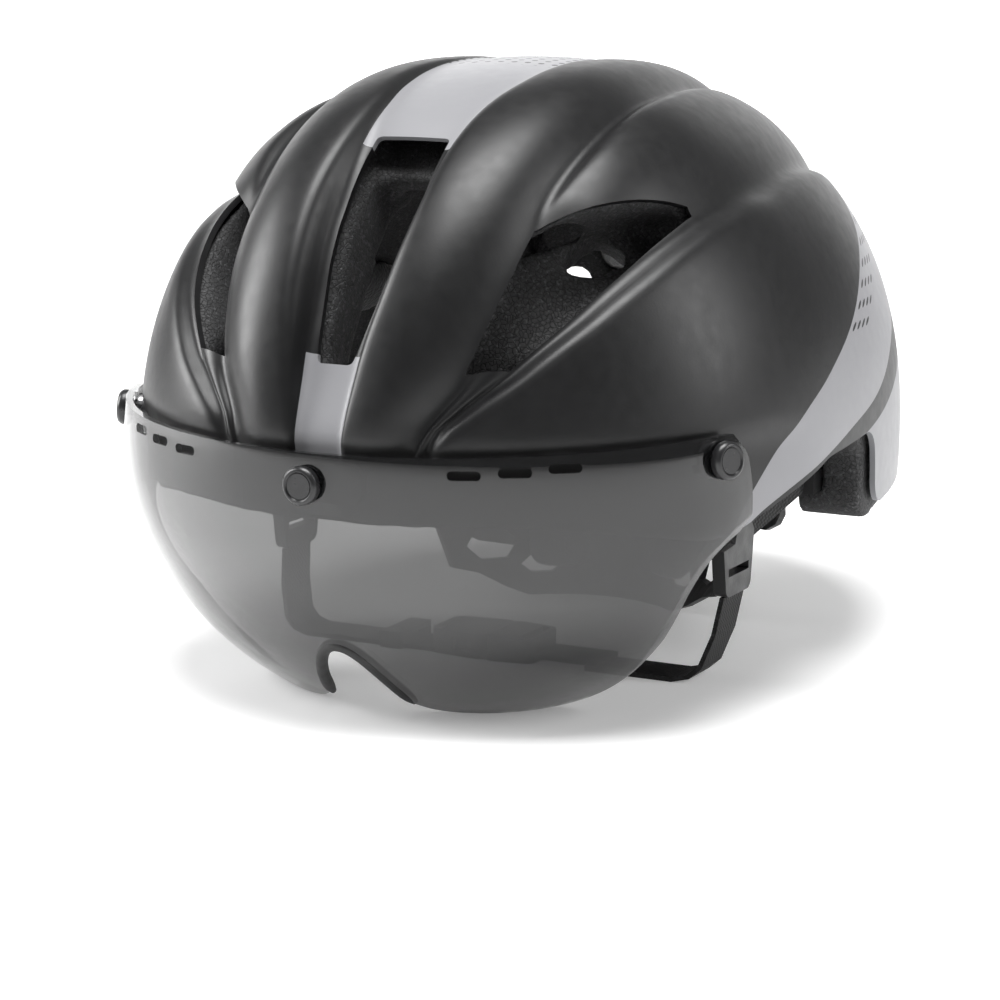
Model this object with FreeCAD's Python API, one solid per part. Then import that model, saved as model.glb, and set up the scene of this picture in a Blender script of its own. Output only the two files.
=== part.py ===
import FreeCAD, Part
import math
import os

V = FreeCAD.Vector

# Aero time trial helmet with a clip-on visor, in millimetres.
# Front is -Y, the wearer's left is +X, the floor is Z = 0.
# The helmet stands as in use on a table: on the visor's two lobes and on the fit system behind.

# Base form of the shell: a rounded form about a cross axis at ear height
half_width = 104.5
front_reach = 123.3
rear_reach = 155.6
crown_height = 118.6
axis_y = -12.7
axis_z = 61.0
side_power = 2.22
profile_power = 2.23

# The shell is drawn in under the visor, so that the lens lies nearly flush
visor_recess = 2.4
recess_top = 83.0
recess_end = -30.0

# Walls
shell_wall = 1.7
bond_line = 0.15
foam_front = 27.0
foam_side = 23.5
foam_crown = 23.0
foam_rear = 45.0
cavity_sides = 32
cavity_rings = 8

# Rim of the shell in side view, heights above the floor
brow_height = 59.0
temple_height = 62.0
ear_tab_height = 52.5
ear_arch_height = 69.0
tail_height = 46.0
temple_y = -115.0
ear_tab_y = -69.0
ear_arch_y = -23.0
tail_front_y = 16.0
foam_drop = 3.0
foam_lobe = 5.0

# Vents, as fan angles from straight ahead, in degrees
centre_vent_low = 19.0
centre_vent_high = 52.0
centre_vent_margin = 1.2
eye_vent_low = 19.5
eye_vent_high = 65.5
vent_draft = 0.90
channel_width = 14.0
channel_depth = 8.0

# Visor lens: a shell of an ellipsoid
lens_half_width = 100.2
lens_reach = 84.5
lens_half_height = 84.5
lens_y = -54.7
lens_z = 71.0
lens_wall = 2.0
lens_top = 79.0
lens_top_rise = 3.5
lens_heading_limit = 96.0
lens_heading_count = 25
lens_lift_low = -64.0
lens_lift_high = 8.0
lens_lift_count = 9
nose_height = 23.0
nose_stations = 11
trim_radius = 1.7
trim_sides = 8
slot_length = 9.0
slot_width = 2.6
slot_x = (43.0, 55.0, 66.0)
slot_z = (75.0, 75.8, 76.8)

# Magnet buttons of the visor and their seats on the shell
turned_sides = 24
button_radius = 5.3
button_height = 3.6
button_shank = 2.6
button_lift = 0.5
magnet_radius = 4.6
side_button_y = -80.4
side_button_z = 75.5
centre_button_z = 70.5
seat_gap = 0.05
seat_depth = 3.5
fit_gap = 0.05
soft_gap = 0.3
running_gap = 0.3
magnet_height = 1.8

# The lens curves away under a button and its magnet, which clear it by the lift
magnet_back = lens_wall + button_lift

# Pads
pad_thickness = 6.0
pad_gap = 0.6
pad_edge = 2.0

# Fit system
head_half_width = 74.0
head_reach = 84.0
arm_wall = 1.8
arm_height = 11.0
anchor_y = -44.0
anchor_z = 66.0
anchor_pin_radius = 1.6
cradle_top = 33.0
cradle_lean = 24.0
cradle_wall = 2.4
housing_width = 46.0
housing_height = 25.0
housing_depth = 17.0
housing_back = 7.0
knob_radius = 15.0
knob_depth = 9.0
knob_ribs = 12
pinion_radius = 4.0
pinion_teeth = 10
rack_teeth = 7
rack_height = 4.0

# Straps
strap_width = 15.0
strap_wall = 1.4
strap_x = 84.5
divider_y = -22.0
divider_z = 36.0
buckle_y = -30.0


def steps(first, last, count):
    return [first + (last - first) * i / (count - 1) for i in range(count)]


def ease(t):
    t = min(max(t, 0.0), 1.0)
    return t * t * (3 - 2 * t)


def along(stations, angle):
    """Value of a feature at a fan angle, from its stations of (angle, value)."""
    if angle <= stations[0][0]:
        return stations[0][1]
    for (a, va), (b, vb) in zip(stations, stations[1:]):
        if angle <= b:
            t = (angle - a) / (b - a)
            return va + (vb - va) * t
    return stations[-1][1]


# Feature lines across the shell: half widths in millimetres at fan angles in degrees
channel_edge = ((-20, 7.2), (8, 7.6), (19, 9.8), (31, 11.0), (41, 12.0), (52, 13.5), (62, 15.5),
                (72, 17.3), (87, 19.0), (105, 19.0), (130, 17.0), (165, 12.5), (226, 9.0))
channel_wall = ((-20, 1.6), (8, 1.8), (19, 4.0), (31, 5.0), (60, 5.0), (72, 4.5), (88, 2.2),
                (105, 2.0), (226, 2.0))
channel_sink = ((-20, 0.8), (4, 1.4), (10, 3.6), (19, 9.0), (31, 12.5), (52, 13.0), (62, 12.2),
                (72, 9.6), (80, 5.6), (88, 2.6), (97, 1.5), (120, 1.5), (150, 2.2), (226, 2.2))
groove_a = ((-20, 21.0), (4, 23.0), (11, 27.5), (19, 37.5), (26, 41.5), (35, 45.0), (45, 47.0),
            (63, 49.5), (82, 48.0), (114, 40.5), (140, 33.0), (165, 26.0), (226, 20.0))
groove_a_sink = ((-20, 0.0), (4, 0.3), (11, 3.0), (19, 5.5), (44, 6.0), (63, 5.0), (82, 4.2),
                 (114, 3.8), (150, 3.6), (175, 2.0), (226, 1.0))
rib_two_rise = ((-20, 0.3), (4, 0.6), (11, 3.6), (19, 6.0), (42, 6.6), (50, 3.2), (62, 0.9),
                (80, 0.3), (226, 0.3))
groove_b = ((-20, 29.0), (4, 30.0), (11, 33.0), (15, 40.0), (21, 51.0), (33, 65.0), (46, 73.0),
            (59, 77.0), (74, 79.0), (86, 79.0), (116, 73.0), (140, 62.0), (165, 50.0), (226, 40.0))
groove_b_sink = ((-20, 0.0), (4, 0.3), (11, 3.4), (19, 5.5), (59, 5.0), (86, 4.4), (116, 3.8),
                 (150, 3.4), (175, 1.6), (226, 1.0))
step_a_width = 2.6
rib_crown = 1.4
step_b_width = 4.5
fan_angles = (-20, 0, 8, 12, 16, 20, 26, 33, 41, 50, 60, 70, 81, 93, 106, 120, 135, 150, 165, 182, 203, 226)
side_limit = 87.0
hub_radius = 4.0
flat_limit = 1e-6


def profile_radius(angle):
    """Distance from the cross axis to the base form, in the middle plane."""
    c = math.cos(math.radians(angle))
    s = math.sin(math.radians(angle))
    reach = front_reach if c > 0 else rear_reach
    total = (abs(c) / reach) ** profile_power + (abs(s) / crown_height) ** profile_power
    return total ** (-1 / profile_power)


def side_radius(turn):
    c = math.cos(turn)
    s = math.sin(turn)
    return (c ** side_power + s ** side_power) ** (-1 / side_power)


def turn_at(x):
    """Sideways angle, about the middle plane, of a place x from the middle."""
    share = min(x / half_width, 0.999)
    return math.atan2(share, (1 - share ** side_power) ** (1 / side_power))


def form_point(angle, turn, sink):
    """Point on the form at a fan angle and a signed sideways angle, sunk below the base form."""
    side = 1 if turn >= 0 else -1
    turn = abs(turn)
    reach = profile_radius(angle)
    size = side_radius(turn)
    a = math.radians(angle)
    x = half_width * size * math.sin(turn)
    r = reach * size * math.cos(turn)
    sink += visor_recess * ease((recess_top - axis_z - r * math.sin(a)) / 8) \
        * ease((recess_end - axis_y + r * math.cos(a)) / 30)
    nx = (x / half_width) ** (side_power - 1) / half_width if x > 0 else 0.0
    nr = (max(r, 0.0) / reach) ** (side_power - 1) / reach
    length = math.hypot(nx, nr)
    flat = 1.0 if turn > math.radians(side_limit) - 1e-6 else nx / length
    x -= sink * flat
    r -= sink * math.sqrt(max(0.0, 1 - flat * flat))
    return V(side * x, axis_y - r * math.cos(a), axis_z + r * math.sin(a))


def flat_panels(a, b, c, d):
    """One flat face through four corners that lie in a plane, or else two triangles."""
    normal = (b - a).cross(c - a)
    if normal.Length > 0 and abs((d - a).dot(normal)) < flat_limit * normal.Length:
        return [Part.Face(Part.makePolygon([a, b, c, d, a]))]
    if abs(a.x) < abs(b.x):
        halves = ((a, b, c), (a, c, d))
    else:
        halves = ((a, b, d), (b, c, d))
    return [Part.Face(Part.makePolygon([*half, half[0]])) for half in halves]


def paneled(rings):
    """Solid through closed rings of points, with flat panels from ring to ring and over both ends."""
    faces = [Part.Face(Part.makePolygon(ring + [ring[0]])) for ring in (rings[0], rings[-1])]
    count = len(rings[0])
    for near, far in zip(rings, rings[1:]):
        for i in range(count):
            k = (i + 1) % count
            faces += flat_panels(near[i], near[k], far[k], far[i])
    skin = Part.Shell(faces)
    skin.sewShape()
    solid = Part.Solid(skin)
    if solid.Volume < 0:
        solid.reverse()
    return solid


def cross_line(angle):
    """Half of the shell's cross line at one fan angle, as (sideways angle, sink) from the channel out."""
    edge = along(channel_edge, angle)
    shoulder = edge + along(channel_wall, angle)
    a = along(groove_a, angle)
    a_in = a + step_a_width
    b = max(along(groove_b, angle), a_in + 3.0)
    b_in = b + step_b_width
    sink_c = along(channel_sink, angle)
    sink_a = along(groove_a_sink, angle)
    rise = along(rib_two_rise, angle)
    sink_b = along(groove_b_sink, angle)
    bulge = rib_crown * ease((angle - 2) / 14)

    def strip(x0, x1, shares, law):
        return [(turn_at(x0 + (x1 - x0) * t), law(t)) for t in shares]

    line = strip(edge, shoulder, (0.0, 0.5), lambda t: sink_c + (0.5 - sink_c) * ease(1.15 * t))
    line += strip(shoulder, a, (0.0, 0.2, 0.45, 0.75, 1.0),
                  lambda t: 0.5 * (1 - t) ** 2 - bulge * math.sin(math.pi * t) + sink_a * t ** 2.6)
    line += strip(a_in, b, (0.0, 0.4, 0.75, 1.0),
                  lambda t: rise * (1 - t) + sink_b * t ** 2.2
                  - 1.0 * math.sin(math.pi * t) * min(1.0, 0.3 / rise))
    line += strip(b, b_in, (0.5,), lambda t: sink_b + (0.4 - sink_b) * ease(t))
    last = math.radians(side_limit)
    first = turn_at(b_in)
    line += [(first + (last - first) * t, 0.4 * (1 - t) ** 3 - 0.8 * math.sin(math.pi * t) * (1 - t))
             for t in (0.0, 0.2, 0.45, 0.72, 1.0)]
    return line


def form_line(angle, sink):
    """The shell's whole cross line at a fan angle, from the right side over to the left."""
    half = cross_line(angle)
    left = [form_point(angle, turn, depth + sink) for turn, depth in half]
    right = [form_point(angle, -turn, depth + sink) for turn, depth in half]
    return right[::-1] + left


def skin_solid(sink, wall):
    """A skin of the shell's form, from one depth below the base form down to another."""
    return paneled([form_line(a, sink) + form_line(a, sink + wall)[::-1] for a in fan_angles])


def form_solid(sink):
    """The shell's form filled to its cross axis."""
    rings = []
    for angle in fan_angles:
        line = form_line(angle, sink)
        a = math.radians(angle)
        inwards = V(0, axis_y - hub_radius * math.cos(a), axis_z + hub_radius * math.sin(a))
        rings.append(line + [inwards + V(line[-1].x, 0, 0), inwards + V(line[0].x, 0, 0)])
    return paneled(rings)


def outline(corners, place):
    """Closed wire through corners (u, v, radius), each corner rounded by a tangent arc."""
    arcs = []
    for i, (u, v, radius) in enumerate(corners):
        here = V(u, v, 0)
        back = V(corners[i - 1][0], corners[i - 1][1], 0) - here
        ahead = V(corners[(i + 1) % len(corners)][0], corners[(i + 1) % len(corners)][1], 0) - here
        back.normalize()
        ahead.normalize()
        half = back.getAngle(ahead) / 2
        setback = radius / math.tan(half)
        bisector = (back + ahead).normalize()
        centre = here + bisector * (radius / math.sin(half))
        arcs.append((here + back * setback, centre - bisector * radius, here + ahead * setback, radius))
    edges = []
    for i, (start, middle, end, radius) in enumerate(arcs):
        if radius > 0:
            edges.append(Part.Arc(place(start), place(middle), place(end)).toShape())
        follow = arcs[(i + 1) % len(arcs)][0]
        if (follow - end).Length > 1e-6:
            edges.append(Part.makeLine(place(end), place(follow)))
    return Part.Wire(edges)


def front_plane(y):
    return lambda p: V(p.x, y, p.y)


def side_plane(x):
    return lambda p: V(x, p.x, p.y)


def floor_plane(z):
    return lambda p: V(p.x, p.y, z)


def prism(corners, plane, travel):
    return Part.Face(outline(corners, plane)).extrude(travel)


def mirrored(shape):
    return shape.mirror(V(0, 0, 0), V(1, 0, 0))


def block(x0, x1, y0, y1, z0, z1):
    return Part.makeBox(x1 - x0, y1 - y0, z1 - z0, V(x0, y0, z0))


def rim_keep(drop, lobe):
    """Everything above the rim, seen from the side, as a solid right across the helmet."""
    wide = half_width + 20
    corners = [(-200, 300, 0), (-200, brow_height - drop - 1.5, 0),
               (temple_y, temple_height - drop, 70), (ear_tab_y, ear_tab_height - drop, 9),
               (ear_arch_y, ear_arch_height - 1.0 - drop, 22),
               (tail_front_y - lobe, ear_arch_height + 1.5 - drop, 8),
               (tail_front_y + 3 - lobe, tail_height - lobe, 9),
               (200, tail_height + 7 - lobe, 0), (200, 300, 0)]
    return prism(corners, side_plane(-wide), V(2 * wide, 0, 0))


def drafted_cutter(points, direction, outside, inside):
    """Tapering plug for a vent, from outside the shell inwards."""
    direction = V(direction).normalize()
    middle = V(0, 0, 0)
    for p in points:
        middle += p
    middle = middle * (1.0 / len(points))
    rings = []
    for height, size in ((outside, 1.0), (-inside, vent_draft)):
        ring = []
        for p in points:
            off = p - middle
            off = off - direction * off.dot(direction)
            ring.append(middle + off * size + direction * height)
        rings.append(ring)
    return paneled(rings)


def shell_place(angle, x, sink):
    return form_point(angle, turn_at(abs(x)) * (1 if x >= 0 else -1), sink)


def centre_vent():
    low = centre_vent_low
    high = centre_vent_high
    bottom = along(channel_edge, low) - 4.4
    top = along(channel_edge, high) - centre_vent_margin
    sink = along(channel_sink, (low + high) / 2)
    corners = [(bottom, low), (top, high), (-top, high), (-bottom, low)]
    points = [shell_place(a, x, sink) for x, a in corners]
    middle = math.radians((low + high) / 2)
    return drafted_cutter(points, V(0, -math.cos(middle), math.sin(middle)), 22, 62)


def eye_vent():
    """Left side vent: an eye between the first rib, the second rib's tip and the side panel."""
    low = eye_vent_low
    high = eye_vent_high
    bend = 43.0
    inner = [shell_place(a, along(groove_a, a) + 0.8, along(groove_a_sink, a)) for a in steps(low, bend, 5)]
    first = along(groove_a, bend) + 0.8
    last = along(groove_b, high) - 1.0
    upper = []
    for t in steps(0.0, 1.0, 5)[1:]:
        x = first + (last - first) * t + 1.5 * math.sin(math.pi * t)
        upper.append(shell_place(bend + (high - bend) * t, x, 4.0))
    lower = [shell_place(a, along(groove_b, a) - 0.6, 5.0) for a in steps(high, low + 1.5, 7)[1:]]
    outward = shell_place(41.0, 62.0, 0.0) - shell_place(41.0, 62.0, 10.0)
    return drafted_cutter(inner + upper + lower, outward, 14, 62)


def rear_vent(angle_low, angle_high, x_in, x_out, direction):
    corners = [(x_in, angle_low), (x_out, angle_low), (x_out, angle_high), (x_in, angle_high)]
    return drafted_cutter([shell_place(a, x, 2.0) for x, a in corners], direction, 16, 70)


def vent_plugs():
    eye = eye_vent()
    upper = rear_vent(151, 164, 21.0, 35.0, V(0.36, 0.92, -0.05))
    lower = rear_vent(163, 176, 42.0, 58.0, V(0.42, 0.90, -0.08))
    middle = rear_vent(158, 170, -7.5, 7.5, V(0, 1, 0.05))
    plugs = [centre_vent(), eye, upper, lower]
    plugs += [mirrored(eye), mirrored(upper), mirrored(lower), middle]
    return plugs


foam_centre = V(0, (axis_y - front_reach + foam_front + axis_y + rear_reach - foam_rear) / 2, axis_z)
foam_half = V(half_width - foam_side, (front_reach + rear_reach - foam_front - foam_rear) / 2,
              crown_height - foam_crown)


def head_cavity():
    """Room for the head: a dome of flat-sided rings over straight walls that go down past the rim."""
    turns = steps(0.0, 2 * math.pi, cavity_sides + 1)[:-1]

    def ring(size, z):
        return [V(foam_half.x * size * math.cos(t), foam_centre.y + foam_half.y * size * math.sin(t), z)
                for t in turns]

    rings = [ring(1.0, foam_centre.z - 80)]
    for lift in steps(0.0, math.radians(87.0), cavity_rings):
        rings.append(ring(math.cos(lift), foam_centre.z + foam_half.z * math.sin(lift)))
    return paneled(rings)


def air_channels():
    """Curved channels in the foam, from the front vents over the head to the rear vents."""
    big = Part.Ellipse(V(0, 0, 0), foam_half.y + channel_depth, foam_half.z + channel_depth).toShape()
    face = Part.Face(Part.Wire([big]))
    face.rotate(V(0, 0, 0), V(1, 1, 1), 120)
    solids = []
    for x in (-40.0, 0.0, 40.0):
        slab = face.copy()
        slab.translate(V(x - channel_width / 2, foam_centre.y, foam_centre.z))
        slab = slab.extrude(V(channel_width, 0, 0))
        solids.append(slab.common(block(-100, 100, -200, 200, foam_centre.z + 22, 300)))
    return solids


def level_wall(angle, lift, inset):
    """Point in an upright plane at a plan angle from the front, lifted by an angle, inset from the foam."""
    a = math.radians(angle)
    e = math.radians(lift)
    out = V(math.sin(a), -math.cos(a), 0)
    reach = 1 / math.hypot(out.x / foam_half.x, out.y / foam_half.y)
    return foam_centre + out * (reach * math.cos(e) - inset) + V(0, 0, foam_half.z * math.sin(e))


def arch_wall(angle, lift, inset):
    """Point in a plane through the cross axis at a fan angle, moved sideways by an angle."""
    a = math.radians(angle)
    e = math.radians(lift)
    out = V(0, -math.cos(a), math.sin(a))
    reach = 1 / math.hypot(out.y / foam_half.y, out.z / foam_half.z)
    return foam_centre + out * (reach * math.cos(e) - inset) + V(foam_half.x * math.sin(e), 0, 0)


def pad_section(place, angle, low, high, thickness):
    """Crowned cross section of a pad: flat on the foam, drawn in at its edges, full between."""
    inset = (high - low) * 0.04
    edge = pad_gap + pad_edge * thickness / pad_thickness
    ring = [place(angle, lift, pad_gap) for lift in steps(low, high, 4)]
    for t in steps(0.0, 1.0, 6):
        depth = edge + (pad_gap + thickness - edge) * 4 * t * (1 - t)
        ring.append(place(angle, high - inset - (high - low - 2 * inset) * t, depth))
    return ring


def pad(place, first, last, low, high, count):
    sections = []
    for t in steps(-1.0, 1.0, count):
        draw = (high - low) * 0.18 * t ** 6
        thick = pad_thickness * (1 - 0.55 * t ** 6)
        sections.append(pad_section(place, (first + last) / 2 + (last - first) / 2 * t,
                                    low + draw, high - draw, thick))
    return paneled(sections)


def seated(piece):
    """A pad cut back from the flat panels of the cavity's wall, by the gap for its backing."""
    room = head_cavity()
    room.scale(1 - soft_gap / foam_half.x, foam_centre)
    return piece.common(room)


def brow_pad():
    return seated(pad(level_wall, -42, 42, 3, 14, 9))


def crown_pad():
    return seated(pad(arch_wall, 60, 122, -9, 9, 7))


def side_pad():
    return seated(pad(level_wall, 64, 118, 20, 32, 7))


def lens_point(x, z, inset):
    a = lens_half_width - inset
    b = lens_reach - inset
    c = lens_half_height - inset
    share = 1 - (x / a) ** 2 - ((z - lens_z) / c) ** 2
    return V(x, lens_y - b * math.sqrt(max(share, 0.0)), z)


def lens_ring(heading, wall):
    """Upright section of the lens at a plan angle from straight ahead, outside then inside."""
    a = math.radians(heading)
    rising = steps(lens_lift_low, lens_lift_high, lens_lift_count)
    ring = []
    for inset, lifts in ((0.0, rising), (wall, rising[::-1])):
        for lift in lifts:
            e = math.radians(lift)
            share = 1 / math.hypot(math.sin(a) / (lens_half_width - inset), math.cos(a) / (lens_reach - inset))
            out = V(math.sin(a), -math.cos(a), 0) * (share * math.cos(e))
            ring.append(V(0, lens_y, lens_z + (lens_half_height - inset) * math.sin(e)) + out)
    return ring


def lens_normal(p):
    n = V(p.x / lens_half_width ** 2, (p.y - lens_y) / lens_reach ** 2,
          (p.z - lens_z) / lens_half_height ** 2)
    return n.normalize()


def button_place(x, z):
    if x == 0:
        return lens_point(0, z, 0)
    share = 1 - ((side_button_y - lens_y) / lens_reach) ** 2 - ((z - lens_z) / lens_half_height) ** 2
    return V(math.copysign(lens_half_width * math.sqrt(share), x), side_button_y, z)


def button_places():
    return {"center": button_place(0, centre_button_z), "left": button_place(1, side_button_z),
            "right": button_place(-1, side_button_z)}


def turned(profile, base, direction):
    """Turned piece from (radius, height) pairs, standing at base along direction, flat at both ends."""
    turn = FreeCAD.Rotation(V(0, 0, 1), direction)
    rings = []
    for radius, height in profile:
        rings.append([base + turn.multVec(V(radius * math.cos(a), radius * math.sin(a), height))
                      for a in steps(0.0, 2 * math.pi, turned_sides + 1)[:-1]])
    return paneled(rings)


def nose_arch(count):
    """Arch over the nose, in the front view, from one foot to the other."""
    points = []
    foot = 4.0
    for t in steps(-1, 1, count):
        x = 13.2 * math.copysign(abs(t) ** 1.15, t)
        z = foot + (nose_height - foot) * (1 - abs(x / 13.2) ** 2.1) ** 0.9
        points.append((x, z))
    return points


def visor_lens():
    y = -200
    right = [(103, 66), (96, 55), (90, 46), (79.5, 27.6), (69.5, 14.8), (59.5, 6.6), (49, 2.2),
             (37, 0.35), (26, 0.3), (18, 1.5), (13.2, 4.0)]
    low_right = Part.BSplineCurve()
    low_right.interpolate(Points=[V(x, y, z) for x, z in right])
    low_left = Part.BSplineCurve()
    low_left.interpolate(Points=[V(-x, y, z) for x, z in reversed(right)])
    arch = Part.makePolygon([V(x, y, z) for x, z in reversed(nose_arch(nose_stations))])
    top_left = V(-103, y, lens_top + lens_top_rise)
    top_right = V(103, y, lens_top + lens_top_rise)
    top = Part.Arc(top_left, V(0, y, lens_top), top_right).toShape()
    wire = Part.Wire([top, Part.makeLine(top_right, V(103, y, 66)), low_right.toShape(),
                      *arch.Edges, low_left.toShape(), Part.makeLine(V(-103, y, 66), top_left)])
    front = Part.Face(wire).extrude(V(0, 200, 0))
    corners = [(-220, 130, 0), (-220, -20, 0), (-76, -20, 0), (-74, 30, 60), (-65.5, 57, 12),
               (-70, 76, 9), (-85, 92, 9), (-100, 130, 0)]
    side = prism(corners, side_plane(-150), V(300, 0, 0))
    headings = steps(-lens_heading_limit, lens_heading_limit, lens_heading_count)
    lens = paneled([lens_ring(h, lens_wall) for h in headings]).common(front).common(side)
    for x, z in zip(slot_x, slot_z):
        for s in (1, -1):
            lens = lens.cut(slot_cutter(s * x, z))
    for p in button_places().values():
        n = lens_normal(p)
        hole = Part.makeCylinder(button_shank + fit_gap, 20, p - n * 10, n)
        magnet_room = Part.makeCylinder(magnet_radius + soft_gap, 4, p - n * (magnet_back - fit_gap), n * -1)
        lens = lens.cut(hole).cut(magnet_room)
    return lens


def slot_cutter(x, z):
    p = lens_point(x, z, lens_wall / 2)
    n = lens_normal(p)
    long_way = V(-n.y, n.x, 0).normalize()
    half = slot_length / 2 - slot_width / 2
    up = n.cross(long_way)

    def place(q):
        return p - n * 6 + long_way * q.x + up * q.y

    r = slot_width / 2
    corners = [(-half - r, -r, r * 0.98), (half + r, -r, r * 0.98), (half + r, r, r * 0.98),
               (-half - r, r, r * 0.98)]
    return Part.Face(outline(corners, place)).extrude(n * 12)


def lens_button(p):
    """Button on the lens: a bevelled cap outside and a shank through the hole to the magnet."""
    r = button_radius
    s = button_shank
    profile = [(r - 1.2, button_height), (r, button_height - 1.2), (r, button_lift), (s, button_lift),
               (s, -magnet_back)]
    return turned(profile, p, lens_normal(p))


def lens_magnet(p):
    """Disc magnet behind the lens, on the end of its button's shank."""
    end = -magnet_back - magnet_height
    return turned([(magnet_radius - 0.4, end), (magnet_radius, end + 0.4), (magnet_radius, -magnet_back)],
                  p, lens_normal(p))


def nose_trim(lens):
    """Rubber edge over the nose: a bead that the lens edge enters."""
    points = [lens_point(x, z, lens_wall / 2) for x, z in nose_arch(nose_stations)]
    rings = []
    for i, p in enumerate(points):
        ahead = points[min(i + 1, len(points) - 1)] - points[max(i - 1, 0)]
        out = lens_normal(p)
        across = ahead.cross(out).normalize()
        out = across.cross(ahead).normalize()
        turns = steps(0.0, 2 * math.pi, trim_sides + 1)[:-1]
        rings.append([p + across * (trim_radius * math.cos(t)) + out * (trim_radius * math.sin(t))
                      for t in turns])
    return paneled(rings).cut(lens)


def seat_start(p):
    """Where a lens magnet ends and its seat begins."""
    return p - lens_normal(p) * (magnet_back + magnet_height + seat_gap)


def magnet_seat(p, gap):
    """Steel disc set through the skin, which a lens magnet closes on."""
    n = lens_normal(p)
    return Part.makeCylinder(button_radius + gap, seat_depth + gap, seat_start(p), n * -1)


def front_bracket(gap):
    """Steel plate set into the brow for the middle magnet."""
    p = button_places()["center"]
    n = lens_normal(p)
    start = seat_start(p)
    across = V(1, 0, 0)
    up = n.cross(across)
    wide = 15 + gap
    tall = 5.5 + gap

    def place(q):
        return start + across * q.x + up * q.y

    corners = [(-wide, -tall, 4), (wide, -tall, 4), (wide, tall, 4), (-wide, tall, 4)]
    return Part.Face(outline(corners, place)).extrude(n * -(seat_depth + gap))


def ribbon(stations, wall):
    """Flat strap through stations of (centre, across, facing, width)."""
    sections = []
    for centre, across, facing, width in stations:
        a = V(across).normalize() * (width / 2)
        f = V(facing).normalize() * (wall / 2)
        sections.append([centre - a - f, centre + a - f, centre + a + f, centre - a + f])
    return paneled(sections)


def ring_point(angle, inset):
    """Plan place on the fit system's ring, angle 0 at the rear middle, straight past the side."""
    a = math.radians(angle)
    across = math.sin(a) if abs(angle) < 90 else math.copysign(1.0, angle)
    return V((head_half_width - inset) * across, (head_reach - inset) * math.cos(a), 0)


def ring_facing(angle):
    """Outward direction of the ring in plan."""
    if angle > 90:
        return V(1, 0, 0)
    p = ring_point(angle, 0)
    return V(p.x / head_half_width ** 2, p.y / head_reach ** 2, 0).normalize()


def rack_level(side):
    return cradle_top - 11.0 + side * (pinion_radius + rack_height / 2 + 1.2)


def arm_height_at(angle, side):
    """Height of an arm's middle line: level at the rack, rising past the side to the anchor."""
    level = rack_level(side)
    start = math.degrees(math.acos(anchor_y / head_reach))
    return level + (anchor_z - level) * ease((angle - 32) / (start - 42))


def temple_arm(side):
    """Arm on the left: eye on the anchor pin, perforated strip round the side, toothed rack behind."""
    start = math.degrees(math.acos(anchor_y / head_reach))
    stations = []
    for angle in steps(start - 1.5, -11.0, 15):
        p = ring_point(angle, 0)
        tall = rack_height + (arm_height - rack_height) * ease((angle - 24) / 18)
        stations.append((V(p.x, p.y, arm_height_at(angle, side)), V(0, 0, 1), ring_facing(angle), tall))
    arm = ribbon(stations, arm_wall)
    for angle in steps(start - 20, 54.0, 4):
        facing = ring_facing(angle)
        p = ring_point(angle, 0) + V(0, 0, arm_height_at(angle, side))
        arm = arm.cut(Part.makeCylinder(2.6, 10, p - facing * 5, facing))
    foot = anchor_point() - V(0, 0, arm_height / 2)
    eye = Part.makeCylinder(anchor_pin_radius + 2.0, arm_height, foot)
    bore = Part.makeCylinder(anchor_pin_radius + fit_gap, arm_height + 2, foot - V(0, 0, 1))
    teeth = []
    for angle in steps(9.0, -10.0, rack_teeth):
        facing = ring_facing(angle)
        tooth = block(-0.6, 0.6, -arm_wall / 2, arm_wall / 2, -0.6, 0.6)
        tooth.rotate(V(0, 0, 0), V(0, 0, 1), -math.degrees(math.atan2(facing.x, facing.y)))
        tooth.translate(ring_point(angle, 0) + V(0, 0, rack_level(side) - side * (rack_height / 2 + 0.4)))
        teeth.append(tooth)
    return arm.fuse([eye] + teeth).cut(bore)


def anchor_point():
    start = math.degrees(math.acos(anchor_y / head_reach))
    p = ring_point(start, 0)
    return V(p.x, p.y, anchor_z)


def temple_anchor():
    """Clevis in the foam that holds the arm's eye on its pin."""
    p = anchor_point()
    half = arm_height / 2
    body = block(p.x - 4.5, p.x + 5.8, p.y - 6.0, p.y + 3.2, p.z - half - 3.0, p.z + half + 3.0)
    gap = block(p.x - 6.0, p.x + 4.4, p.y - 4.5, p.y + 5.0, p.z - half - soft_gap, p.z + half + soft_gap)
    pin = Part.makeCylinder(anchor_pin_radius, arm_height + 6.0, p - V(0, 0, half + 3.0))
    return body.cut(gap).fuse(pin)


def anchor_pocket():
    """Pocket in the foam for the clevis, and a relief behind it that the swinging arm runs through."""
    p = anchor_point()
    half = arm_height / 2 + 3.0
    pocket = block(p.x - 8.0, p.x + 5.9, p.y - 6.1, p.y + 3.3, p.z - half - 0.1, p.z + half + 0.1)
    return pocket.fuse(block(p.x - 8.0, p.x + 3.0, p.y + 3.0, p.y + 12.0, p.z - half, p.z + half))


def cradle_section(angle, top, bottom, outer):
    """Upper and lower edge points of the leaning cradle at a ring angle."""
    lean_low = cradle_lean * (1 - bottom / cradle_top)
    lean_top = cradle_lean * (1 - top / cradle_top)
    a = ring_point(angle, outer + lean_low)
    b = ring_point(angle, outer + lean_top)
    return [V(a.x, a.y, bottom), V(b.x, b.y, top)]


def cradle_band(angle_out, top_law, bottom_law, gap, wall):
    sections = []
    for angle in steps(-angle_out, angle_out, 15):
        a, b = cradle_section(angle, top_law(angle), bottom_law(angle), gap)
        c, d = cradle_section(angle, top_law(angle), bottom_law(angle), gap + wall)
        sections.append([a, b, d, c])
    return paneled(sections)


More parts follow.
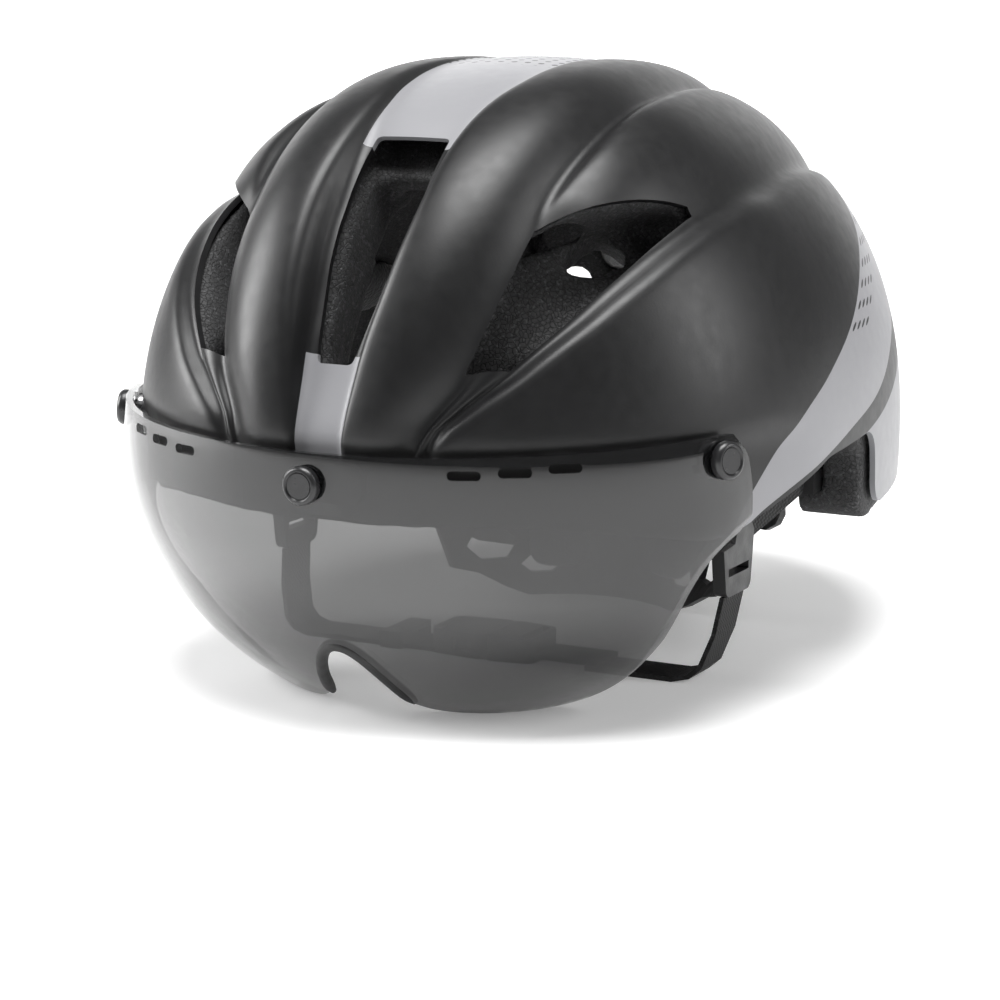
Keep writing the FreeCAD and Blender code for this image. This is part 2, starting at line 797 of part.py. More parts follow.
def cradle_frame():
    """Leaning lattice behind the head, with its windows cut square to the band."""
    reach = 62.0
    gap = arm_wall / 2 + 2.6
    band = cradle_band(reach, lambda a: cradle_top - 10.0 * ease((abs(a) - 26) / 40),
                       lambda a: 10.0 * ease((abs(a) - 34) / 28), gap, cradle_wall)
    windows = []
    for side in (-1, 1):
        for angle, half, low, high in ((46, 9.5, 11, 20), (30, 7.0, 6.5, 11.5)):
            p = ring_point(side * angle, gap + cradle_lean / 2)
            facing = V(p.x / head_half_width ** 2, p.y / head_reach ** 2, 0).normalize()
            across = V(facing.y, -facing.x, 0)
            centre = V(p.x, p.y, (low + high) / 2) - facing * 20
            tall = (high - low) / 2
            ring = [centre - across * half, centre - across * half * 0.5 + V(0, 0, tall),
                    centre + across * half * 0.5 + V(0, 0, tall), centre + across * half,
                    centre + across * half * 0.5 - V(0, 0, tall),
                    centre - across * half * 0.5 - V(0, 0, tall)]
            windows.append(Part.Face(Part.makePolygon(ring + [ring[0]])).extrude(facing * 40))
    frame = band
    for window in windows:
        frame = frame.cut(window)
    return frame


def knob_centre():
    return V(0, head_reach + housing_back, cradle_top - 11.0)


def dial_housing(frame):
    """Hollow case on the cradle: the racks enter its side mouths and the knob's stem its back."""
    c = knob_centre()
    half = housing_width / 2
    tall = housing_height / 2
    y0 = c.y - housing_depth
    corners = [(-half, c.z - tall, 8), (half, c.z - tall, 8), (half, c.z + tall, 8), (-half, c.z + tall, 8)]
    case = prism(corners, front_plane(y0), V(0, housing_depth, 0))
    low = rack_level(-1) - rack_height / 2 - running_gap
    high = rack_level(1) + rack_height / 2 + running_gap
    room = block(-half - 2, half + 2, y0 + 1.2, c.y - 1.8, low, high)
    stem = Part.makeCylinder(pinion_radius + 0.6, 10, V(0, c.y - 5, c.z), V(0, 1, 0))
    return case.cut(room).cut(stem).cut(frame)


def dial_knob():
    """Knob: a fluted grip ring with a flat disc on it, sunk in the middle for its screw."""
    c = knob_centre() + V(0, 0.4, 0)
    rim = []
    for k in range(knob_ribs):
        for share, depth in ((0.0, 0.0), (0.5, 0.0), (0.62, 1.4), (0.88, 1.4)):
            a = 2 * math.pi * (k + share) / knob_ribs
            rim.append(c + V((knob_radius - depth) * math.cos(a), 0, (knob_radius - depth) * math.sin(a)))
    grip = Part.Face(Part.makePolygon(rim + [rim[0]])).extrude(V(0, knob_depth - 2.5, 0))
    disc = turned([(knob_radius - 2.2, 0.0), (knob_radius - 2.2, knob_depth - 1.0),
                   (knob_radius - 3.2, knob_depth)], c, V(0, 1, 0))
    sink = Part.makeCylinder(3.2, 4.0, c + V(0, knob_depth - 2.0, 0), V(0, 1, 0))
    return grip.fuse(disc).cut(sink)


def pinion():
    c = knob_centre()
    depth = 7.8
    y0 = c.y - 7.4
    corners = []
    for k in range(pinion_teeth):
        for part_turn, radius in ((0.0, 3.0), (0.25, 3.0), (0.5, pinion_radius), (0.75, pinion_radius)):
            a = 2 * math.pi * (k + part_turn) / pinion_teeth
            corners.append(V(radius * math.cos(a), y0, c.z + radius * math.sin(a)))
    gear = Part.Face(Part.makePolygon(corners + [corners[0]])).extrude(V(0, 3.6, 0))
    stem = Part.makeCylinder(3.0, depth - 3.6, V(0, y0 + 3.6, c.z), V(0, 1, 0))
    return gear.fuse(stem)


def knob_screw():
    c = knob_centre() + V(0, 0.4 + knob_depth - 2.0, 0)
    return turned([(2.9, 0), (2.9, 1.0), (1.6, 1.8)], c, V(0, 1, 0))


def occipital_pad(side):
    sections = []
    gap = arm_wall / 2 + 2.6 + cradle_wall
    for i, angle in enumerate(steps(side * 12.0, side * 34.0, 6)):
        t = -1 + 2 * i / 5
        thick = soft_gap + 1.2 + 2.8 * (1 - t ** 4)
        a, b = cradle_section(angle, 24.0 - 2 * t ** 4, 8.0 + 2 * t ** 4, gap + soft_gap)
        c, d = cradle_section(angle, 23.0 - 3 * t ** 4, 9.0 + 3 * t ** 4, gap + thick)
        sections.append([a, b, d, c])
    return paneled(sections)


def strap_top(y):
    """Height of the foam's rim over the strap anchors, in side view."""
    share = (y - ear_tab_y) / (ear_arch_y - ear_tab_y)
    low = ear_tab_height - foam_drop
    return low + (ear_arch_height - 1.0 - foam_drop - low) * share


def strap_anchor_front():
    y = -48.0
    z = strap_top(y)
    return block(strap_x - 3.0, strap_x + 3.0, y - 9.0, y + 9.0, z - 6.0, z + 9.0)


def strap_anchor_rear():
    y = tail_front_y - foam_lobe
    return block(strap_x - 3.0, strap_x + 3.0, y - 3.0, y + 9.0, 50.0, 64.0)


def grown(box, gap):
    b = box.BoundBox
    return block(b.XMin - gap, b.XMax + gap, b.YMin - gap, b.YMax + gap, b.ZMin - gap, b.ZMax + gap)


def straight_strap(top, end, width):
    """Flat strap between two points, its faces looking outwards."""
    run = end - top
    facing = V(1, 0, 0) - run * (run.x / run.dot(run))
    across = run.cross(facing)
    return ribbon([(top, across, facing, width), (end, across, facing, width)], strap_wall)


def front_strap():
    b = strap_anchor_front().BoundBox
    top = V(strap_x, b.YMax - 5.0, b.ZMin)
    strap = straight_strap(top, V(74.3, divider_y - 7.0, divider_z + 8.0), 12.0)
    return strap.cut(strap_divider()).cut(strap_anchor_front())


def rear_strap():
    b = strap_anchor_rear().BoundBox
    top = V(strap_x, b.YMin, (b.ZMin + b.ZMax) / 2)
    strap = straight_strap(top, V(74.3, divider_y + 7.0, divider_z + 8.0), 12.0)
    return strap.cut(strap_divider()).cut(strap_anchor_rear())


def strap_divider():
    """Side adjuster: a slotted plate that joins the two straps above the chin strap."""
    c = V(74.3, divider_y, divider_z)
    corners = [(-9, -11, 3), (9, -11, 3), (12, 9, 4), (-12, 9, 4)]

    def place(q):
        return V(c.x - 2.0, c.y + q.x, c.z + q.y)

    plate = Part.Face(outline(corners, place)).extrude(V(4.0, 0, 0))
    slot = block(c.x - 6, c.x + 6, c.y - 7.5, c.y + 7.5, c.z - 5.0, c.z - 2.6)
    return plate.cut(slot)


def chin_strap(inner_end):
    """Webbing from the divider down to the floor, then inwards under the chin."""
    across = V(0, 1, 0)
    z = strap_wall / 2
    c = divider_z - 11.0
    path = [(V(74.3, divider_y, c - 0.2), V(1, 0, 0)), (V(73.0, divider_y - 3.0, 14.0), V(1, 0, -0.1)),
            (V(70.0, divider_y - 6.0, 4.6), V(0.86, 0, -0.5)),
            (V(66.8, divider_y - 7.0, 1.8), V(0.5, 0, -0.86)), (V(62.0, buckle_y, z), V(0, 0, -1)),
            (V(inner_end, buckle_y, z), V(0, 0, -1))]
    return ribbon([(p, across, f, strap_width) for p, f in path], strap_wall)


def buckle_female():
    """Socket half of the chin buckle, with side windows for the prongs and a bar for the strap."""
    y = buckle_y
    corners = [(-17, y - 9, 3), (2, y - 11, 2), (2, y + 11, 2), (-17, y + 9, 3)]
    case = prism(corners, floor_plane(0.3), V(0, 0, 7.6))
    room = block(-12.0, 4.0, y - 8.4, y + 8.4, 1.9, 6.3)
    windows = block(-9.0, -1.0, y - 14.0, y + 14.0, 1.9, 6.3)
    slot = block(-15.5, -13.6, y - 8.0, y + 8.0, -1.0, 10.0)
    lead = block(-18.0, -14.0, y - 8.0, y + 8.0, -1.0, strap_wall + fit_gap)
    return case.cut(room).cut(windows).cut(slot).cut(lead)


def buckle_male():
    """Plug half: two sprung prongs, a tongue between them and a bar for the webbing."""
    y = buckle_y
    corners = [(2.4, y - 11, 2), (17.5, y - 9, 3), (17.5, y + 9, 3), (2.4, y + 11, 2)]
    base = prism(corners, floor_plane(0.3), V(0, 0, 7.6))
    slot = block(12.6, 15.6, y - 8.2, y + 8.2, -1.0, 10.0)
    prongs = []
    for side in (-1, 1):
        shape = [(3.0, 4.6 * side, 0), (-8.0, 5.2 * side, 0), (-9.6, 6.0 * side, 0.6),
                 (-8.6, 7.8 * side, 0.6), (-5.0, 7.9 * side, 0), (-4.0, 7.0 * side, 0), (3.0, 7.0 * side, 0)]
        prongs.append(prism([(u, y + v, r) for u, v, r in shape], floor_plane(2.4), V(0, 0, 3.4)))
    tongue = block(-9.0, 3.0, y - 2.0, y + 2.0, 2.4, 5.8)
    return base.fuse(prongs + [tongue]).cut(slot)


def webbing_tail():
    """Doubled end of the left webbing: round the plug's bar and back over the strap."""
    y = buckle_y
    z = strap_wall * 1.5 + soft_gap
    top = block(13.0, 38.0, y - strap_width / 2, y + strap_width / 2, z - strap_wall / 2, z + strap_wall / 2)
    return top.cut(grown(buckle_male_body(), 0.02))


def buckle_male_body():
    y = buckle_y
    return block(2.4, 17.5, y - 11, y + 11, 0.3, 7.9)


def strap_keeper():
    """Rubber loop that holds the spare webbing of the right chin strap."""
    y = buckle_y
    outer = block(-34.0, -27.0, y - strap_width / 2 - 2.2, y + strap_width / 2 + 2.2, 0.0, 5.2)
    inner = block(-36.0, -25.0, y - strap_width / 2 - 0.4, y + strap_width / 2 + 0.4, -1.0, 3.6)
    return outer.cut(inner)


def save(name, shape):
    solids = shape.Solids
    kept = solids[0] if len(solids) == 1 else Part.makeCompound(solids)
    kept.exportStep("parts/" + name + ".step")
    b = kept.optimalBoundingBox(False)
    print(name, len(solids), kept.isValid(), round(kept.Volume), [round(v, 1) for v in (
        b.XMin, b.XMax, b.YMin, b.YMax, b.ZMin, b.ZMax)])
    return kept


os.makedirs("parts", exist_ok=True)

plugs = vent_plugs()
left_hole = magnet_seat(button_places()["left"], fit_gap)
seat_holes = [front_bracket(fit_gap), left_hole, mirrored(left_hole)]
outer_shell = skin_solid(0.0, shell_wall).common(rim_keep(0.0, 0.0)).cut(plugs + seat_holes)
save("outer_shell", outer_shell)

foam = form_solid(shell_wall + bond_line).common(rim_keep(foam_drop, foam_lobe)).cut(head_cavity())
foam = foam.cut(air_channels() + plugs + seat_holes)
anchors = [strap_anchor_front(), strap_anchor_rear()]
anchors += [mirrored(a) for a in anchors]
pockets = [grown(a, 0.1) for a in anchors] + [anchor_pocket(), mirrored(anchor_pocket())]
save("foam_liner", foam.cut(pockets))
save("strap_anchors", Part.makeCompound(anchors))

save("brow_pad", brow_pad())
save("crown_pad", crown_pad())
save("side_pad_left", side_pad())
save("side_pad_right", mirrored(side_pad()))

lens = visor_lens()
save("visor_lens", lens)
save("nose_trim", nose_trim(lens))
for name, p in button_places().items():
    save("visor_button_" + name, lens_button(p))
save("visor_magnets", Part.makeCompound([lens_magnet(p) for p in button_places().values()]))
save("front_magnet_bracket", front_bracket(0.0))
left_seat = magnet_seat(button_places()["left"], 0.0)
save("magnet_seat_left", left_seat)
save("magnet_seat_right", mirrored(left_seat))

save("temple_arm_left", temple_arm(1))
save("temple_arm_right", mirrored(temple_arm(-1)))
save("temple_anchor_left", temple_anchor())
save("temple_anchor_right", mirrored(temple_anchor()))
frame = cradle_frame()
save("cradle_frame", frame)
save("dial_housing", dial_housing(frame))
save("dial_knob", dial_knob())
save("pinion", pinion())
save("knob_screw", knob_screw())
save("occipital_pad_left", occipital_pad(1))
save("occipital_pad_right", mirrored(occipital_pad(1)))

save("front_strap_left", front_strap())
save("front_strap_right", mirrored(front_strap()))
save("rear_strap_left", rear_strap())
save("rear_strap_right", mirrored(rear_strap()))
save("strap_divider_left", strap_divider())
save("strap_divider_right", mirrored(strap_divider()))
save("chin_strap_left", chin_strap(34.0))
save("chin_strap_right", mirrored(chin_strap(15.0)))
save("buckle_female", buckle_female())
save("buckle_male", buckle_male())
save("webbing_tail", webbing_tail())
save("strap_keeper", strap_keeper())
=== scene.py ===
import math

import bmesh
import bpy
import numpy as np
from mathutils import Matrix, Vector


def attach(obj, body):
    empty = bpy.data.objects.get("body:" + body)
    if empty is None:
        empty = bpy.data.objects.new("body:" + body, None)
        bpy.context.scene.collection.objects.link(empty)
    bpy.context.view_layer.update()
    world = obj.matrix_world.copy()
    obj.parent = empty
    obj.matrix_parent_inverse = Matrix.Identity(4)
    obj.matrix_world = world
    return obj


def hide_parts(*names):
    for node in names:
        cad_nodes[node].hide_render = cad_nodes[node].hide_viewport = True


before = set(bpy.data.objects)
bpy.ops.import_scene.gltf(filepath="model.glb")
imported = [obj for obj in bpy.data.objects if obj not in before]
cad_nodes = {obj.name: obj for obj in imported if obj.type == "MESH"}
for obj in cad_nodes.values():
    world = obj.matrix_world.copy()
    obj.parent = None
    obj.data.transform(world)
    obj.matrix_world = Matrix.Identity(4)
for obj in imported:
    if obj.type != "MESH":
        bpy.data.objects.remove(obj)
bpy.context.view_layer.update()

# Outer shell: a skin of matte black polycarbonate, vacuum formed over one tool, with ribs, a deep
# channel down its middle and drafted vents. Its light grey areas and dots are printed under a satin coat.
# It is glued to the foam all over, so it rides on the helmet body.
mm = 0.001
axis_y = -12.7
axis_z = 61.0
half_width = 104.5
front_reach = 123.3
rear_reach = 155.6
crown_height = 118.6
side_power = 2.22
profile_power = 2.23
visor_recess = 2.4
recess_top = 83.0
recess_end = -30.0
shell_wall = 1.7
side_limit = math.radians(87.0)
first_step = 2.6
second_step = 4.5
least_rib = 3.0
softening_passes = 3

channel_edge = ((-20, 6.4), (8, 6.6), (19, 7.8), (31, 10.6), (41, 12.6), (52, 13.4), (62, 14.8),
                (72, 17.3), (87, 19.0), (105, 19.0), (130, 17.0), (165, 12.5), (226, 9.0))
channel_wall = ((-20, 1.6), (8, 1.8), (19, 3.4), (31, 4.4), (60, 4.4), (72, 4.0), (88, 2.2),
                (105, 2.0), (226, 2.0))
channel_sink = ((-20, 0.8), (4, 1.4), (10, 3.4), (19, 7.6), (31, 10.6), (42, 10.2), (52, 7.6),
                (60, 5.4), (70, 4.4), (80, 3.2), (88, 2.2), (97, 1.5), (120, 1.5), (150, 2.2), (226, 2.2))
groove_a = ((-20, 21.0), (4, 23.0), (11, 27.5), (19, 37.5), (26, 41.5), (35, 45.0), (45, 47.0),
            (63, 49.5), (82, 48.0), (114, 40.5), (140, 33.0), (165, 26.0), (226, 20.0))
groove_a_sink = ((-20, 0.0), (4, 0.3), (11, 3.0), (19, 5.5), (44, 6.0), (63, 5.0), (82, 4.2),
                 (114, 3.8), (150, 3.6), (175, 2.0), (226, 1.0))
rib_two_rise = ((-20, 0.3), (4, 0.6), (11, 3.6), (19, 6.0), (42, 6.6), (50, 3.2), (62, 0.9),
                (80, 0.3), (226, 0.3))
groove_b = ((-20, 29.0), (4, 30.0), (11, 33.0), (15, 40.0), (21, 51.0), (33, 65.0), (46, 73.0),
            (59, 77.0), (74, 79.0), (86, 79.0), (116, 73.0), (140, 62.0), (165, 50.0), (226, 40.0))
groove_b_sink = ((-20, 0.0), (4, 0.3), (11, 3.4), (19, 5.5), (59, 5.0), (86, 4.4), (116, 3.8),
                 (150, 3.4), (175, 1.6), (226, 1.0))


def smooth_step(t):
    t = min(max(t, 0.0), 1.0)
    return t * t * (3 - 2 * t)


def along(stations, angle):
    """Value of a feature line at a fan angle, smooth through its stations and without overshoot."""
    xs = [s[0] for s in stations]
    ys = [s[1] for s in stations]
    angle = min(max(angle, xs[0]), xs[-1])
    k = max(i for i in range(len(xs) - 1) if xs[i] <= angle)
    slopes = [(ys[i + 1] - ys[i]) / (xs[i + 1] - xs[i]) for i in range(len(xs) - 1)]

    def tangent(i):
        if i == 0 or i == len(xs) - 1:
            return slopes[min(i, len(slopes) - 1)]
        a, b = slopes[i - 1], slopes[i]
        return 0.0 if a * b <= 0 else 2 * a * b / (a + b)

    h = xs[k + 1] - xs[k]
    t = (angle - xs[k]) / h
    rise = (2 * t ** 3 - 3 * t ** 2 + 1) * ys[k] + (3 * t ** 2 - 2 * t ** 3) * ys[k + 1]
    return rise + h * ((t ** 3 - 2 * t ** 2 + t) * tangent(k) + (t ** 3 - t ** 2) * tangent(k + 1))


def turn_at(x):
    share = min(x / half_width, 0.999)
    return math.atan2(share, (1 - share ** side_power) ** (1 / side_power))


def form_point(angle, turn, sink):
    """Point of the shell's form in millimetres, at a fan angle and a sideways angle, sunk by a depth."""
    side = 1 if turn >= 0 else -1
    turn = abs(turn)
    a = math.radians(angle)
    c, s = math.cos(a), math.sin(a)
    base = (abs(c) / (front_reach if c > 0 else rear_reach)) ** profile_power
    reach = (base + (abs(s) / crown_height) ** profile_power) ** (-1 / profile_power)
    size = (math.cos(turn) ** side_power + math.sin(turn) ** side_power) ** (-1 / side_power)
    x = half_width * size * math.sin(turn)
    r = reach * size * math.cos(turn)
    sink += visor_recess * smooth_step((recess_top - axis_z - r * s) / 8) \
        * smooth_step((recess_end - axis_y + r * c) / 30)
    nx = (x / half_width) ** (side_power - 1) / half_width if x > 0 else 0.0
    nr = (r / reach) ** (side_power - 1) / reach
    flat = nx / math.hypot(nx, nr) if turn < side_limit - 1e-6 else 1.0
    x -= sink * flat
    r -= sink * math.sqrt(max(0.0, 1 - flat * flat))
    return (side * x, axis_y - r * c, axis_z + r * s)


def cross_line(angle):
    """Half of the shell's cross line at a fan angle, from the middle of the channel to the side."""
    edge = along(channel_edge, angle)
    shoulder = edge + along(channel_wall, angle)
    a = along(groove_a, angle)
    a_in = a + first_step
    b = max(along(groove_b, angle), a_in + least_rib)
    b_in = b + second_step
    sink_c = along(channel_sink, angle)
    sink_a = along(groove_a_sink, angle)
    rise = along(rib_two_rise, angle)
    sink_b = along(groove_b_sink, angle)
    bulge = 1.4 * smooth_step((angle - 2) / 14)
    line = []

    def strip(x0, x1, count, law):
        for i in range(count):
            t = i / count
            line.append((turn_at(x0 + (x1 - x0) * t), law(t)))

    strip(0.0, edge, 6, lambda t: sink_c)
    strip(edge, shoulder, 6, lambda t: sink_c + (0.5 - sink_c) * smooth_step(t))
    strip(shoulder, a, 22, lambda t: 0.5 * (1 - t) ** 2 - bulge * math.sin(math.pi * t) + sink_a * t ** 2.6)
    strip(a, a_in, 4, lambda t: sink_a + (rise - sink_a) * t)
    strip(a_in, b, 16, lambda t: rise * (1 - t) + sink_b * t ** 2.2
          - math.sin(math.pi * t) * min(1.0, 0.3 / rise))
    strip(b, b_in, 6, lambda t: sink_b + (0.4 - sink_b) * smooth_step(t))
    first = turn_at(b_in)
    for i in range(37):
        t = i / 36
        line.append((first + (side_limit - first) * t,
                     0.4 * (1 - t) ** 3 - 0.8 * math.sin(math.pi * t) * (1 - t)))
    return line


def form_rows(sink, fans):
    """Grid of points over the shell's form, its creases softened as a formed skin's are."""
    rows = []
    for angle in fans:
        half = cross_line(angle)
        left = [form_point(angle, turn, depth + sink) for turn, depth in half]
        right = [(-x, y, z) for x, y, z in left[:0:-1]]
        rows.append(right + left)
    grid = np.array(rows)
    for _ in range(softening_passes):
        soft = grid.copy()
        soft[:, 1:-1] = (grid[:, :-2] + 2 * grid[:, 1:-1] + grid[:, 2:]) / 4
        grid = soft
    return grid


def mesh_piece(name, points, faces):
    """A new piece from points in metres, its doubles merged and its faces turned outwards."""
    data = bpy.data.meshes.new(name)
    data.from_pydata([tuple(p) for p in points], [], [tuple(f) for f in faces])
    piece = bpy.data.objects.new(name, data)
    bpy.context.scene.collection.objects.link(piece)
    work = bmesh.new()
    work.from_mesh(data)
    bmesh.ops.remove_doubles(work, verts=work.verts, dist=1e-6)
    bmesh.ops.recalc_face_normals(work, faces=work.faces)
    work.to_mesh(data)
    work.free()
    return piece


def ringed_piece(name, rings):
    """A closed piece through rings of points in metres, each joined to the next, with flat ends."""
    count = len(rings[0])
    faces = [range(count), range((len(rings) - 1) * count, len(rings) * count)]
    for r in range(len(rings) - 1):
        for i in range(count):
            k = (i + 1) % count
            faces.append((r * count + i, r * count + k, (r + 1) * count + k, (r + 1) * count + i))
    return mesh_piece(name, [p for ring in rings for p in ring], faces)


def apply_modifier(piece, kind, **settings):
    """Adds a modifier with its settings and applies it."""
    bpy.ops.object.select_all(action="DESELECT")
    bpy.context.view_layer.objects.active = piece
    piece.select_set(True)
    modifier = piece.modifiers.new(kind.lower(), kind)
    for key, value in settings.items():
        setattr(modifier, key, value)
    bpy.ops.object.modifier_apply(modifier=modifier.name)


def carve(piece, cutter, operation="DIFFERENCE"):
    """Cuts a piece by another one, which is used up."""
    apply_modifier(piece, "BOOLEAN", object=cutter, operation=operation, solver="MANIFOLD")
    bpy.data.objects.remove(cutter)


def coat(piece, material):
    """Gives the whole of a piece one material, in place of what its cutters left."""
    piece.data.materials.clear()
    piece.data.materials.append(material)
    piece.data.polygons.foreach_set("material_index", [0] * len(piece.data.polygons))


def recoat(node, material):
    """Puts a better material into the slots of a CAD node."""
    for k in range(len(node.data.materials)):
        node.data.materials[k] = material


def smooth_by_angle(piece, degrees):
    """Shades a piece smooth, but for edges sharper than an angle."""
    bpy.ops.object.select_all(action="DESELECT")
    bpy.context.view_layer.objects.active = piece
    piece.select_set(True)
    bpy.ops.object.shade_smooth_by_angle(angle=math.radians(degrees))


def rounded_outline(corners):
    """Closed outline through corners (u, v, radius), each rounded by an arc."""
    arc_steps = 8
    points = []
    for i, (u, v, radius) in enumerate(corners):
        here = Vector((u, v))
        back = (Vector(corners[i - 1][:2]) - here).normalized()
        ahead = (Vector(corners[(i + 1) % len(corners)][:2]) - here).normalized()
        if radius == 0:
            points.append(here)
            continue
        half = back.angle(ahead) / 2
        start = here + back * (radius / math.tan(half))
        end = here + ahead * (radius / math.tan(half))
        centre = here + (back + ahead).normalized() * (radius / math.sin(half))
        for k in range(arc_steps + 1):
            p = start.lerp(end, k / arc_steps) - centre
            points.append(centre + p.normalized() * radius)
    return points


def across_helmet(name, outline, reach):
    """A prism right across the helmet, through an outline in side view."""
    return ringed_piece(name, [[(x * mm, p.x * mm, p.y * mm) for p in outline] for x in (-reach, reach)])


def rim_prism():
    """Everything above the rim in side view."""
    corners = [(-200, 300, 0), (-200, 57.5, 0), (-115, 62, 70), (-69, 52.5, 9), (-23, 68, 22),
               (16, 70.5, 8), (19, 46, 9), (200, 53, 0), (200, 300, 0)]
    return across_helmet("rim_cutter", rounded_outline(corners), 130)


def place_on_form(angle, x, sink):
    """Point of the form at a fan angle and about a distance from the middle."""
    return Vector(form_point(angle, math.copysign(turn_at(abs(x)), x), sink))


def vent_cutter(name, points, direction, outside, inside, draft=0.9):
    """Tapering plug for a vent, from outside the shell inwards, through an outline on the form."""
    direction = Vector(direction).normalized()
    middle = sum(points, Vector()) / len(points)
    rings = []
    for height, size in ((outside, 1.0), (-inside, draft)):
        ring = []
        for p in points:
            off = p - middle
            off -= direction * off.dot(direction)
            ring.append((middle + off * size + direction * height) * mm)
        rings.append(ring)
    return ringed_piece(name, rings)


def with_round_corners(points, radius, corners):
    """A closed run of points in space, rounded at the corners with the given numbers."""
    arc_steps = 5
    out = []
    for i, here in enumerate(points):
        if i not in corners:
            out.append(here)
            continue
        back = here + (points[i - 1] - here).normalized() * radius
        ahead = here + (points[(i + 1) % len(points)] - here).normalized() * radius
        for k in range(arc_steps + 1):
            t = k / arc_steps
            out.append(back * (1 - t) ** 2 + here * 2 * t * (1 - t) + ahead * t ** 2)
    return out


def centre_vent_cutter():
    """Middle vent: as wide as the channel's floor, with rounded ends."""
    sides = ((19.5, 5.7), (22.5, 7.0), (28, 8.8), (34, 10.6),
             (40, 11.8), (46, 12.4), (52, 12.3), (56.5, 12.2))
    line = [place_on_form(a, x, along(channel_sink, a)) for a, x in sides]
    line += [place_on_form(a, -x, along(channel_sink, a)) for a, x in reversed(sides)]
    corners = (0, len(sides) - 1, len(sides), len(line) - 1)
    lean = math.radians(38)
    return vent_cutter("vent", with_round_corners(line, 1.8, corners),
                       (0, -math.cos(lean), math.sin(lean)), 22, 26, 0.97)


def eye_vent_cutter(side):
    """Side vent: an eye between the first rib, the tip of the second rib and the side panel."""
    low, bend, high = 19.5, 43.0, 65.5
    points = []
    for i in range(11):
        a = low + (bend - low) * i / 10
        points.append(place_on_form(a, along(groove_a, a) + 0.8, along(groove_a_sink, a)))
    first = along(groove_a, bend) + 0.8
    last = along(groove_b, high) - 1.0
    for i in range(1, 12):
        t = i / 12
        x = first + (last - first) * t + 1.5 * math.sin(math.pi * t)
        points.append(place_on_form(bend + (high - bend) * t, x, 4.0))
    for i in range(1, 18):
        a = high + (low + 1.5 - high) * i / 17
        points.append(place_on_form(a, along(groove_b, a) - 0.6, 5.0))
    outward = place_on_form(41, 62, 0) - place_on_form(41, 62, 10)
    if side < 0:
        points = [Vector((-p.x, p.y, p.z)) for p in reversed(points)]
        outward.x = -outward.x
    return vent_cutter("vent", points, outward, 14, 62)


def rear_vent_cutter(low, high, x_in, x_out, direction):
    """Vent at the back: a four-sided hole with rounded corners."""
    corners = [place_on_form(a, x, 2.0)
               for x, a in ((x_in, low), (x_out, low), (x_out, high), (x_in, high))]
    return vent_cutter("vent", with_round_corners(corners, 3.0, range(4)), direction, 16, 70)


shell_fans = np.concatenate((np.arange(-20, 8, 2.0), np.arange(8, 70, 1.4), np.arange(70, 226.1, 2.0)))
outside = form_rows(0.0, shell_fans)
inside = form_rows(shell_wall, shell_fans)
shell = ringed_piece("helmet_shell", [
    [Vector(p) * mm for p in np.concatenate((top, under[::-1]))] for top, under in zip(outside, inside)])
carve(shell, rim_prism(), "INTERSECT")
vent_cutters = [centre_vent_cutter(), eye_vent_cutter(1), eye_vent_cutter(-1),
                rear_vent_cutter(158, 170, -7.5, 7.5, (0, 1, 0.05))]
for s in (1, -1):
    upper = (s * 21.0, s * 35.0)
    lower = (s * 42.0, s * 58.0)
    vent_cutters.append(rear_vent_cutter(151, 164, *upper, (s * 0.36, 0.92, -0.05)))
    vent_cutters.append(rear_vent_cutter(163, 176, *lower, (s * 0.42, 0.90, -0.08)))
for cutter in vent_cutters:
    carve(shell, cutter)
smooth_by_angle(shell, 32)


